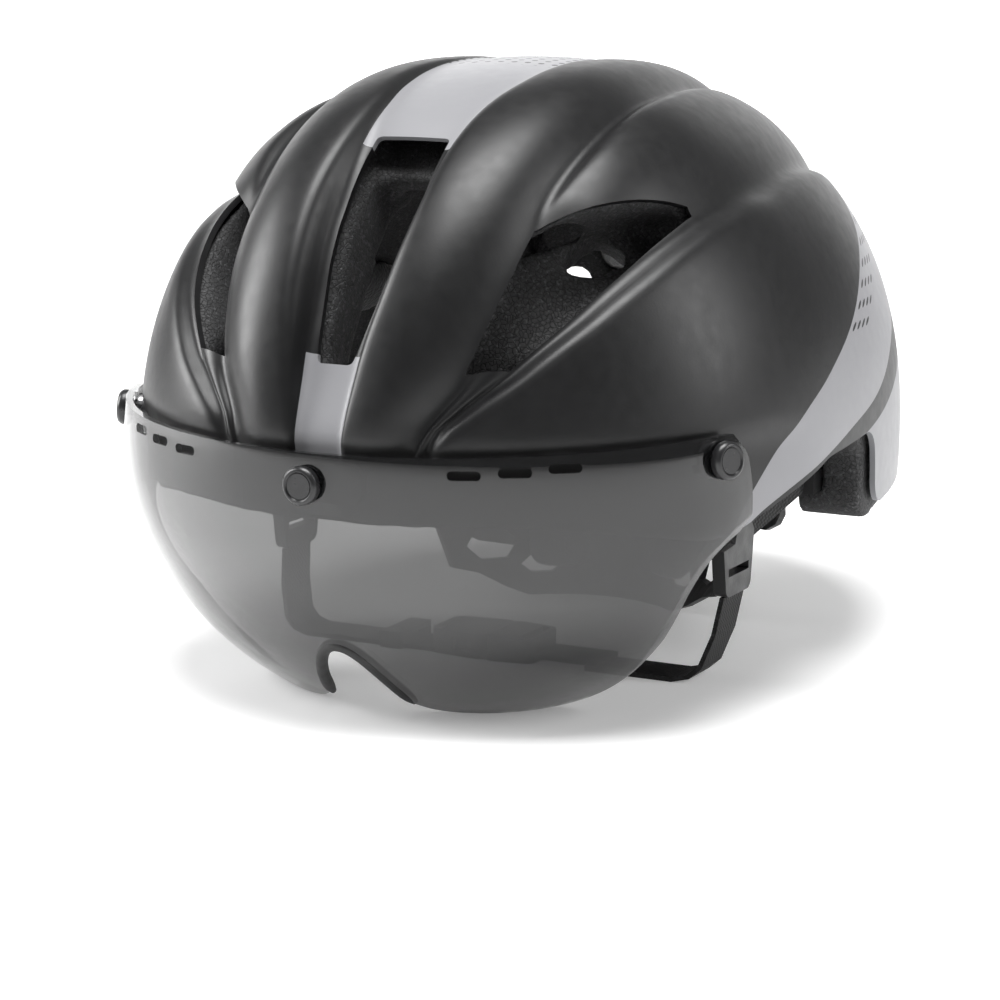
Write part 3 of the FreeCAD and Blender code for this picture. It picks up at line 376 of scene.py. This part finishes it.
class Nodes:
    """Short hand for building a material out of nodes that feed one Principled shader."""

    def __init__(self, name, colour, roughness):
        self.material = bpy.data.materials.new(name)
        self.material.use_nodes = True
        self.tree = self.material.node_tree
        self.shader = self.tree.nodes["Principled BSDF"]
        self.shader.inputs["Base Color"].default_value = (*colour, 1)
        self.shader.inputs["Roughness"].default_value = roughness
        self.place = self.tree.nodes.new("ShaderNodeTexCoord").outputs["Object"]

    def feed(self, socket, value):
        if isinstance(value, bpy.types.NodeSocket):
            self.tree.links.new(value, socket)
        else:
            socket.default_value = value

    def math(self, operation, a, b=0.0, c=0.0):
        node = self.tree.nodes.new("ShaderNodeMath")
        node.operation = operation
        for socket, value in zip(node.inputs, (a, b, c)):
            self.feed(socket, value)
        return node.outputs[0]

    def split(self):
        node = self.tree.nodes.new("ShaderNodeSeparateXYZ")
        self.feed(node.inputs[0], self.place)
        return node.outputs

    def curve(self, value, points, low, high):
        """A curve through points (input, output), whose inputs run from low to high."""
        node = self.tree.nodes.new("ShaderNodeFloatCurve")
        line = node.mapping.curves[0]
        scaled = [((a - low) / (high - low), b) for a, b in points]
        for k, (a, b) in enumerate(scaled):
            if k < 2:
                line.points[k].location = (a, b)
            else:
                line.points.new(a, b)
        node.mapping.update()
        share = self.math("DIVIDE", self.math("SUBTRACT", value, low), high - low)
        self.feed(node.inputs["Value"], share)
        return node.outputs[0]

    def noise(self, scale, detail=2.0, vector=None):
        node = self.tree.nodes.new("ShaderNodeTexNoise")
        node.inputs["Scale"].default_value = scale
        node.inputs["Detail"].default_value = detail
        self.feed(node.inputs["Vector"], vector or self.place)
        return node.outputs[0]

    def mix(self, factor, a, b):
        node = self.tree.nodes.new("ShaderNodeMix")
        node.data_type = "RGBA"
        self.feed(node.inputs[0], factor)
        for socket, value in ((node.inputs[6], a), (node.inputs[7], b)):
            self.feed(socket, value if isinstance(value, bpy.types.NodeSocket) else (*value, 1))
        return node.outputs[2]

    def ramp(self, value, low, high, to_low=0.0, to_high=1.0):
        node = self.tree.nodes.new("ShaderNodeMapRange")
        for socket, v in zip(node.inputs, (value, low, high, to_low, to_high)):
            self.feed(socket, v)
        return node.outputs[0]

    def bump(self, height, strength, distance):
        node = self.tree.nodes.new("ShaderNodeBump")
        node.inputs["Strength"].default_value = strength
        node.inputs["Distance"].default_value = distance
        self.feed(node.inputs["Height"], height)
        self.feed(self.shader.inputs["Normal"], node.outputs[0])


paint = Nodes("satin_shell_paint", (0.017, 0.017, 0.018), 0.40)
x_place, y_place, z_place = paint.split()
across = paint.math("ABSOLUTE", x_place)
above_axis = paint.math("SUBTRACT", z_place, axis_z * mm)
before_axis = paint.math("SUBTRACT", axis_y * mm, y_place)
fan = paint.math("MULTIPLY", 180 / math.pi, paint.math("ARCTAN2", above_axis, before_axis))


def between(value, low, high):
    """Mask of the places where a value lies between two others."""
    over_low = paint.math("GREATER_THAN", value, low)
    return paint.math("MULTIPLY", over_low, paint.math("LESS_THAN", value, high))


def line_across(stations, widest, margin):
    """Distance of a feature line from the middle, in metres, with a margin added."""
    share = paint.curve(fan, [(a, w / widest) for a, w in stations], -20, 226)
    return paint.math("MULTIPLY_ADD", share, widest * mm, margin * mm)


on_strip = paint.math("LESS_THAN", across, line_across(channel_edge, 40, 0.5))
under_vent = paint.math("LESS_THAN", fan, 21.0)
off_vent = paint.math("MAXIMUM", under_vent, paint.math("GREATER_THAN", fan, 54.0))
strip_grey = paint.math("MULTIPLY", on_strip, off_vent)

height = paint.math("MULTIPLY", z_place, 1000.0)
stripe_start = -130
stripe_span = 280


def line_y(points):
    """Place along the helmet, in metres, of a stripe's edge at each height."""
    shares = [(z, (y - stripe_start) / stripe_span) for z, y in points]
    share = paint.curve(height, shares, 40, 180)
    return paint.math("MULTIPLY_ADD", share, stripe_span * mm, stripe_start * mm)


stripe_front = line_y([(40, -74), (54, -68), (66.6, -58), (80, -42), (91, -20), (101, 1),
                       (118, 31), (129, 52), (180, 120)])
stripe_rear = line_y([(40, -80), (54.6, -62), (61, -48), (67, -30), (73, -7.5), (80.5, 23),
                      (93, 52), (101, 72), (180, 150)])
band_rear = line_y([(40, -70), (55, -38), (69, -1), (70.4, 10.5), (78.6, 45), (88.6, 73),
                    (120, 110), (180, 150)])
in_stripe = between(y_place, stripe_front, stripe_rear)
after_band = paint.math("GREATER_THAN", y_place, band_rear)
on_side = paint.math("GREATER_THAN", across, line_across(groove_b, 110, 4.5))
side_grey = paint.math("MULTIPLY", paint.math("MAXIMUM", in_stripe, after_band), on_side)
grey = paint.math("MAXIMUM", strip_grey, side_grey)


def off_dot_squared(place, pitch):
    """Square of the distance from the nearest dot of a row."""
    share = paint.math("FRACT", paint.math("DIVIDE", place, pitch))
    off = paint.math("MULTIPLY", paint.math("SUBTRACT", share, 0.5), pitch)
    return paint.math("MULTIPLY", off, off)


def dot_rows(u, v, pitch_u, pitch_v, radius):
    """Rows of small round dots on a grid of two places, as a mask."""
    squares = paint.math("ADD", off_dot_squared(u, pitch_u), off_dot_squared(v, pitch_v))
    return paint.math("LESS_THAN", paint.math("SQRT", squares), radius)


dot_margin = 2.0 * mm
arc = paint.math("MULTIPLY", fan, math.radians(1) * 115 * mm)
crown_rows = dot_rows(x_place, arc, 4.4 * mm, 4.6 * mm, 0.95 * mm)
crown_dots = paint.math("MULTIPLY", crown_rows, between(fan, 84.0, 99.0))
past_stripe = paint.math("SUBTRACT", y_place, stripe_front)
past_margin = paint.math("SUBTRACT", past_stripe, dot_margin)
side_rows = dot_rows(past_margin, z_place, 4.6 * mm, 5.2 * mm, 1.1 * mm)
side_patch = paint.math("MULTIPLY", between(past_stripe, dot_margin, 20.4 * mm),
                        between(z_place, 0.0988, 0.130))
side_dots = paint.math("MULTIPLY", side_rows, side_patch)
dots = paint.math("MAXIMUM", paint.math("MULTIPLY", crown_dots, strip_grey),
                  paint.math("MULTIPLY", side_dots, side_grey))
shade = paint.math("MULTIPLY", grey, paint.math("SUBTRACT", 1.0, dots))
mottle = paint.noise(14.0)
black = paint.mix(mottle, (0.0055, 0.0055, 0.006), (0.0075, 0.0075, 0.008))
pale = paint.mix(mottle, (0.25, 0.25, 0.262), (0.27, 0.27, 0.283))
paint.feed(paint.shader.inputs["Base Color"], paint.mix(shade, black, pale))
paint.feed(paint.shader.inputs["Roughness"], paint.ramp(paint.noise(240.0, 3.0), 0.3, 0.7, 0.37, 0.43))
paint.bump(paint.noise(1500.0, 1.0), 0.06, 0.0002)
paint.shader.inputs["Specular IOR Level"].default_value = 0.42
coat(shell, paint.material)
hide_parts("outer_shell")
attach(shell, "helmet")

# Foam liner: one moulding of black bead foam, 23 to 45 mm thick, bonded into the shell. It shows in
# the vents, as the lobes under the rim and all over the inside, where its moulded edges are rounded.
def loose_copy(node, name):
    """A copy of a CAD node, free of its parent and its marks, its doubled points merged."""
    piece = node.copy()
    piece.data = piece.data.copy()
    piece.name = name
    piece.parent = None
    for key in list(piece.keys()):
        del piece[key]
    bpy.context.scene.collection.objects.link(piece)
    work = bmesh.new()
    work.from_mesh(piece.data)
    bmesh.ops.remove_doubles(work, verts=work.verts, dist=1e-5)
    work.to_mesh(piece.data)
    work.free()
    return piece


foam = loose_copy(cad_nodes["foam_liner"], "foam_inner")
web_outside = 1.13
see_through = ((44, -80, 124), (56, -72, 124), (60, -62, 128), (50, -66, 134))
web_parts = []
for s in (1, -1):
    plug = eye_vent_cutter(s)
    for size, operation in ((1.0, "DIFFERENCE"), (web_outside, "INTERSECT")):
        bpy.ops.object.select_all(action="DESELECT")
        bpy.ops.mesh.primitive_uv_sphere_add(segments=64, ring_count=32, radius=1.0)
        dome = bpy.context.object
        dome.data.transform(Matrix.Translation((0, -5.55 * mm, 61 * mm))
                            @ Matrix.Diagonal((80.0 * size * mm, 102.4 * size * mm, 94.6 * size * mm, 1.0)))
        carve(plug, dome, operation)
    corners = [Vector((s * x, y, z)) for x, y, z in see_through]
    carve(plug, vent_cutter("see_through", corners, (s * 0.35, -0.8, 0.5), 60, 60, 1.0))
    web_parts.append(plug)
bpy.ops.object.select_all(action="DESELECT")
for plug in web_parts:
    plug.select_set(True)
foam.select_set(True)
bpy.context.view_layer.objects.active = foam
bpy.ops.object.join()
foam.data.normals_split_custom_set([(0, 0, 0)] * len(foam.data.loops))
apply_modifier(foam, "REMESH", mode="VOXEL", voxel_size=0.0022, adaptivity=0.0)
apply_modifier(foam, "SMOOTH", factor=0.5, iterations=3)
apply_modifier(foam, "DISPLACE", strength=-0.0004, mid_level=0.0)
smooth_by_angle(foam, 60)

beads = Nodes("bead_foam", (0.03, 0.03, 0.031), 0.7)
seams = beads.tree.nodes.new("ShaderNodeTexVoronoi")
seams.feature = "DISTANCE_TO_EDGE"
seams.inputs["Scale"].default_value = 760.0
beads.feed(seams.inputs["Vector"], beads.place)
edge = beads.ramp(seams.outputs["Distance"], 0.0, 0.12)
tone = beads.mix(edge, (0.008, 0.008, 0.008), (0.030, 0.030, 0.031))
flecks = beads.ramp(beads.noise(900.0), 0.55, 0.75)
beads.feed(beads.shader.inputs["Base Color"], beads.mix(flecks, tone, (0.085, 0.085, 0.088)))
beads.bump(edge, 0.7, 0.0003)
coat(foam, beads.material)
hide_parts("foam_liner")
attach(foam, "helmet")

# Visor lens: smoke polycarbonate, moulded 2 mm thick as part of an ellipsoid, with an arch over the
# nose and three slots a side. It hangs on its three magnet buttons and takes its edges from the mould.
lens_centre = Vector((0.0, -54.7, 71.0))
lens_half = Vector((100.2, 84.5, 84.5))
lens_wall = 2.0


def lens_point(x, z, inset=0.0):
    """Point of the lens in front view, sunk by an inset from its outside."""
    half = lens_half - Vector((inset, inset, inset))
    share = 1 - (x / half.x) ** 2 - ((z - lens_centre.z) / half.z) ** 2
    return Vector((x, lens_centre.y - half.y * math.sqrt(max(share, 0.0)), z))


def lens_normal(p):
    """Direction straight out of the lens at a point."""
    d = p - lens_centre
    return Vector((d.x / lens_half.x ** 2, d.y / lens_half.y ** 2, d.z / lens_half.z ** 2)).normalized()


def lens_ball(name, inset):
    """The whole ellipsoid that the lens is part of, smaller by an inset."""
    bpy.ops.object.select_all(action="DESELECT")
    bpy.ops.mesh.primitive_uv_sphere_add(segments=224, ring_count=128, radius=1.0)
    ball = bpy.context.object
    ball.name = name
    half = (lens_half - Vector((inset, inset, inset))) * mm
    ball.data.transform(Matrix.Translation(lens_centre * mm) @ Matrix.Diagonal((*half, 1.0))
                        @ Matrix.Rotation(math.radians(90), 4, "Y"))
    return ball


def through(points, count):
    """A smooth line through points, with even steps between each two of them."""
    out = []
    for i in range(len(points) - 1):
        p0 = points[max(i - 1, 0)]
        p1, p2 = points[i], points[i + 1]
        p3 = points[min(i + 2, len(points) - 1)]
        for k in range(count):
            t = k / count
            out.append(0.5 * ((2 * p1) + (p2 - p0) * t + (2 * p0 - 5 * p1 + 4 * p2 - p3) * t ** 2
                              + (3 * p1 - p0 - 3 * p2 + p3) * t ** 3))
    out.append(points[-1])
    return out


nose_half = 13.2
nose_foot = 4.0
nose_rise = 19.0


def nose_arch(count):
    """Edge of the lens over the nose, in front view."""
    points = []
    for i in range(count):
        t = -1 + 2 * i / (count - 1)
        x = nose_half * math.copysign(abs(t) ** 1.15, t)
        points.append(Vector((x, nose_foot + nose_rise * (1 - abs(x / nose_half) ** 2.1) ** 0.9)))
    return points


lens = lens_ball("visor_lens_smoke", 0.0)
carve(lens, lens_ball("lens_core", lens_wall))
low_edge = [Vector(p) for p in ((103, 66), (96, 55), (90, 46), (79.5, 27.6), (69.5, 14.8), (59.5, 6.6),
                                (49, 2.2), (37, 0.35), (26, 0.3), (18, 1.5), (nose_half, nose_foot))]
right_edge = through(low_edge, 6)
top_edge = []
for i in range(25):
    x = -103 + 206 * i / 24
    top_edge.append(Vector((x, 79.0 + 3.5 * (x / 103) ** 2)))
left_edge = [Vector((-p.x, p.y)) for p in right_edge[::-1]]
front_view = top_edge + right_edge + nose_arch(41)[::-1][1:-1] + left_edge
front_rings = [[(p.x * mm, y * mm, p.y * mm) for p in front_view] for y in (-200, 0)]
carve(lens, ringed_piece("front_cutter", front_rings), "INTERSECT")
side_view = rounded_outline([(-220, 130, 0), (-220, -20, 0), (-76, -20, 0), (-74, 30, 60), (-65.5, 57, 12),
                             (-70, 76, 9), (-85, 92, 9), (-100, 130, 0)])
carve(lens, across_helmet("side_cutter", side_view, 150), "INTERSECT")
slot_length = 9.0
slot_width = 2.6


def slot_cutter(x, z):
    """A bar with round ends, straight through the lens."""
    p = lens_point(x, z, lens_wall / 2)
    n = lens_normal(p)
    long_way = Vector((-n.y, n.x, 0)).normalized()
    up = n.cross(long_way)
    r = slot_width / 2
    half = slot_length / 2 - r
    flat = []
    for k in range(24):
        a = 2 * math.pi * k / 24
        flat.append((math.copysign(half, math.cos(a)) + r * math.cos(a), r * math.sin(a)))
    rings = [[(p + long_way * u + up * v + n * h) * mm for u, v in flat] for h in (-6, 6)]
    return ringed_piece("slot", rings)


slot_places = [(s * x, z) for x, z in zip((43.0, 55.0, 66.0), (75.0, 75.8, 76.8)) for s in (1, -1)]
for x, z in slot_places:
    carve(lens, slot_cutter(x, z))
smooth_by_angle(lens, 30)

smoke = Nodes("smoke_polycarbonate", (0.20, 0.20, 0.21), 0.035)
smoke.shader.inputs["Transmission Weight"].default_value = 0.0
smoke.shader.inputs["IOR"].default_value = 1.58
smoke.shader.inputs["Alpha"].default_value = 0.7
tint = smoke.mix(smoke.noise(20.0), (0.006, 0.006, 0.0065), (0.009, 0.009, 0.0095))
smoke.feed(smoke.shader.inputs["Base Color"], tint)
smoke.feed(smoke.shader.inputs["Roughness"], smoke.ramp(smoke.noise(60.0), 0.3, 0.7, 0.02, 0.05))
smoke.shader.inputs["Coat Weight"].default_value = 0.6
smoke.shader.inputs["Coat Roughness"].default_value = 0.02
coat(lens, smoke.material)
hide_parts("visor_lens")
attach(lens, "visor")

# Nose trim: a bead of soft black rubber, slit along its length.
# It is pushed on the edge of the arch over the nose and tapers off at both ends.
trim_radius = 1.75
trim_sides = 20
trim_last = 60
end_taper = 2.5
trim_rings = []
arch_points = [lens_point(p.x, p.y, lens_wall / 2) for p in nose_arch(trim_last + 1)]
for i, p in enumerate(arch_points):
    ahead = (arch_points[min(i + 1, trim_last)] - arch_points[max(i - 1, 0)]).normalized()
    out = lens_normal(p)
    side = ahead.cross(out).normalized()
    out = side.cross(ahead).normalized()
    to_end = min(i, trim_last - i) + 0.4
    round_off = math.sqrt(1 - (1 - min(1.0, to_end / end_taper)) ** 2)
    trim_rings.append([(p + (side * math.cos(a) + out * math.sin(a)) * trim_radius * round_off) * mm
                       for a in (2 * math.pi * k / trim_sides for k in range(trim_sides))])
trim = ringed_piece("nose_trim_bead", trim_rings)
smooth_by_angle(trim, 60)
rubber = Nodes("soft_rubber", (0.012, 0.012, 0.012), 0.55)
rubber.feed(rubber.shader.inputs["Roughness"], rubber.ramp(rubber.noise(300.0), 0.3, 0.7, 0.48, 0.62))
rubber.bump(rubber.noise(2600.0), 0.15, 0.0002)
coat(trim, rubber.material)
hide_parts("nose_trim")
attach(trim, "visor")

# Lens buttons: three turned caps of black nylon, each with a bevelled rim and a shallow inner disc.
# A shank through the lens holds the magnet behind it.
button_lift = 0.5
magnet_back = lens_wall + button_lift
button_sides = 64


def side_button_place(side):
    """Place of a side button on the outside of the lens."""
    y, z = -80.4, 75.5
    share = 1 - ((y - lens_centre.y) / lens_half.y) ** 2 - ((z - lens_centre.z) / lens_half.z) ** 2
    return Vector((side * lens_half.x * math.sqrt(share), y, z))


button_places = {"center": lens_point(0, 70.5), "left": side_button_place(1), "right": side_button_place(-1)}
button_profile = ((0.02, 3.25), (3.5, 3.25), (3.62, 3.1), (3.74, 3.25), (4.1, 3.6), (4.35, 3.6), (4.7, 3.45),
                  (5.2, 2.7), (5.3, 2.4), (5.3, 0.75), (5.1, 0.5), (2.6, 0.5),
                  (2.6, -magnet_back), (0.02, -magnet_back))
nylon = Nodes("moulded_nylon", (0.014, 0.014, 0.0145), 0.42)
nylon.feed(nylon.shader.inputs["Roughness"], nylon.ramp(nylon.noise(200.0), 0.3, 0.7, 0.36, 0.5))
nylon.bump(nylon.noise(1800.0), 0.2, 0.0002)
cap = Nodes("button_cap", (0.016, 0.016, 0.017), 0.3)
cap.feed(cap.shader.inputs["Roughness"], cap.ramp(cap.noise(500.0), 0.3, 0.7, 0.26, 0.36))
cap.bump(cap.noise(2400.0), 0.1, 0.0002)
for name, p in button_places.items():
    turn = lens_normal(p).to_track_quat("Z", "Y")
    rings = []
    for radius, height in button_profile:
        rings.append([(p + turn @ Vector((radius * math.cos(a), radius * math.sin(a), height))) * mm
                      for a in (2 * math.pi * k / button_sides for k in range(button_sides))])
    button = ringed_piece("lens_button_" + name, rings)
    smooth_by_angle(button, 40)
    coat(button, cap.material)
    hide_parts("visor_button_" + name)
    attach(button, "visor")

# Magnets, seats and screw: nickel plated, as bought. The magnets are glued behind the lens,
# the seats are set in the helmet under them, and the screw holds the knob.
steel = Nodes("nickel_plate", (0.45, 0.45, 0.46), 0.28)
steel.shader.inputs["Metallic"].default_value = 1.0
steel.feed(steel.shader.inputs["Roughness"], steel.ramp(steel.noise(120.0), 0.3, 0.7, 0.22, 0.36))
for name in ("visor_magnets", "magnet_seat_left", "magnet_seat_right", "knob_screw"):
    recoat(cad_nodes[name], steel.material)

# Fit system and fittings: arms, anchors, cradle, dial housing, pinion, dividers and buckle are moulded
# black nylon with a fine grain. The knob and the keeper are soft rubber, moulded as well.
for name in ("temple_arm_left", "temple_arm_right", "temple_anchor_left", "temple_anchor_right",
             "cradle_frame", "dial_housing", "pinion", "front_magnet_bracket", "strap_anchors",
             "strap_divider_left", "strap_divider_right", "buckle_female", "buckle_male"):
    recoat(cad_nodes[name], nylon.material)
for name in ("dial_knob", "strap_keeper"):
    recoat(cad_nodes[name], rubber.material)

# Pads: brushed knit sewn over soft foam. Four are held to the liner by hook and loop
# and two to the cradle, and their outlines are soft all round.
knit = Nodes("brushed_knit", (0.02, 0.02, 0.021), 0.9)
weave = knit.tree.nodes.new("ShaderNodeTexVoronoi")
weave.inputs["Scale"].default_value = 900.0
knit.feed(weave.inputs["Vector"], knit.place)
yarn = knit.mix(weave.outputs["Distance"], (0.012, 0.012, 0.012), (0.045, 0.045, 0.047))
knit.feed(knit.shader.inputs["Base Color"], yarn)
knit.shader.inputs["Sheen Weight"].default_value = 0.4
knit.bump(weave.outputs["Distance"], 0.6, 0.0004)
pads = {"brow_pad": "helmet", "crown_pad": "helmet", "side_pad_left": "helmet", "side_pad_right": "helmet",
        "occipital_pad_left": "cradle", "occipital_pad_right": "cradle"}
for name, body in pads.items():
    pad = loose_copy(cad_nodes[name], name + "_cover")
    apply_modifier(pad, "REMESH", mode="VOXEL", voxel_size=0.0012)
    apply_modifier(pad, "SMOOTH", factor=0.5, iterations=4)
    smooth_by_angle(pad, 80)
    coat(pad, knit.material)
    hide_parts(name)
    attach(pad, body)

# Straps: flat woven polyester webbing, sewn where it is doubled. It runs from the anchors in the foam
# through the dividers to the buckle.
webbing = Nodes("woven_webbing", (0.014, 0.014, 0.0145), 0.75)
wx, wy, wz = webbing.split()
rib = webbing.math("SINE", webbing.math("MULTIPLY", wy, 4200.0))
cross = webbing.math("SINE", webbing.math("MULTIPLY", webbing.math("ADD", wx, wz), 3600.0))
webbing.bump(webbing.math("MULTIPLY", rib, cross), 0.5, 0.0003)
thread = webbing.mix(rib, (0.010, 0.010, 0.010), (0.024, 0.024, 0.025))
webbing.feed(webbing.shader.inputs["Base Color"], thread)
for name in ("front_strap_left", "front_strap_right", "rear_strap_left", "rear_strap_right",
             "chin_strap_left", "chin_strap_right", "webbing_tail"):
    recoat(cad_nodes[name], webbing.material)

# Table: a plain white sweep that the helmet stands on.
# It is not part of the helmet.
bpy.ops.object.select_all(action="DESELECT")
bpy.ops.mesh.primitive_plane_add(size=6.0)
table = bpy.context.object
table.name = "table"
white = Nodes("white_table", (0.9, 0.9, 0.9), 0.8)
white.shader.inputs["Emission Color"].default_value = (1, 1, 1, 1)
white.shader.inputs["Emission Strength"].default_value = 0.2
white.shader.inputs["Specular IOR Level"].default_value = 0.1
white.feed(white.shader.inputs["Roughness"], white.ramp(white.noise(3.0), 0.3, 0.7, 0.55, 0.65))
table.data.materials.append(white.material)

# Backdrop: a white wall behind the table, square to the camera.
# It gives off light of its own, so that it stays evenly white.
bpy.ops.object.select_all(action="DESELECT")
bpy.ops.mesh.primitive_plane_add(size=1.0)
wall = bpy.context.object
wall.name = "backdrop"
view_turn = math.radians(27.3)
wall.data.transform(Matrix.Translation((-1.0, 2.0, 0.5)) @ Matrix.Rotation(view_turn, 4, "Z")
                    @ Matrix.Rotation(math.radians(90), 4, "X") @ Matrix.Diagonal((3.0, 1.6, 1.0, 1.0)))
glow = Nodes("white_wall", (0.9, 0.9, 0.9), 0.8)
glow.shader.inputs["Emission Color"].default_value = (1, 1, 1, 1)
glow.shader.inputs["Emission Strength"].default_value = 0.9
glow.feed(glow.shader.inputs["Roughness"], glow.ramp(glow.noise(3.0), 0.3, 0.7, 0.75, 0.85))
wall.data.materials.append(glow.material)

# Studio: a dim white room with three softboxes.
# One is to the left of the camera, one to its right, and the strongest hangs above.
room_glow = 0.16
world = bpy.data.worlds.new("white_room")
world.use_nodes = True
room = world.node_tree.nodes["Background"]
room.inputs[0].default_value = (1.0, 1.0, 1.0, 1)
room.inputs[1].default_value = room_glow
bpy.context.scene.world = world


def softbox(name, place, aim, size, watts):
    """A rectangular light at a place in metres, turned to what it aims at."""
    data = bpy.data.lights.new(name, "AREA")
    data.shape = "RECTANGLE"
    data.size, data.size_y = size
    data.energy = watts
    lamp = bpy.data.objects.new(name, data)
    bpy.context.scene.collection.objects.link(lamp)
    lamp.location = place
    lamp.rotation_euler = (Vector(aim) - Vector(place)).to_track_quat("-Z", "Y").to_euler()


softbox("left_softbox", place=(-1.5, -0.5, 0.75), aim=(0, 0, 0.08), size=(0.8, 1.1), watts=34)
softbox("right_softbox", place=(1.6, 0.5, 0.9), aim=(0, 0, 0.08), size=(0.5, 1.2), watts=14)
softbox("top_softbox", place=(0.1, -0.15, 1.7), aim=(0, 0, 0.1), size=(1.2, 0.8), watts=40)

# Camera: the photograph's place, a little above the helmet and to its left front.
# Its focal length is measured in the photograph's pixels.
view_lift = math.radians(11.19)
view_distance = 901.4
focal_pixels = 2880.4
picture_pixels = 1000
sensor_width = 36
target = Vector((-14.95, 3.0, 39.97)) * mm
back = Vector((math.sin(view_turn) * math.cos(view_lift), -math.cos(view_turn) * math.cos(view_lift),
               math.sin(view_lift)))
camera = bpy.data.objects.new("camera", bpy.data.cameras.new("camera"))
camera.data.lens = sensor_width * focal_pixels / picture_pixels
camera.data.sensor_width = sensor_width
camera.data.clip_start = 0.05
camera.location = target + back * view_distance * mm
camera.rotation_euler = (-back).to_track_quat("-Z", "Y").to_euler()
bpy.context.scene.collection.objects.link(camera)
bpy.context.scene.camera = camera
bpy.context.scene.view_settings.view_transform = "Standard"
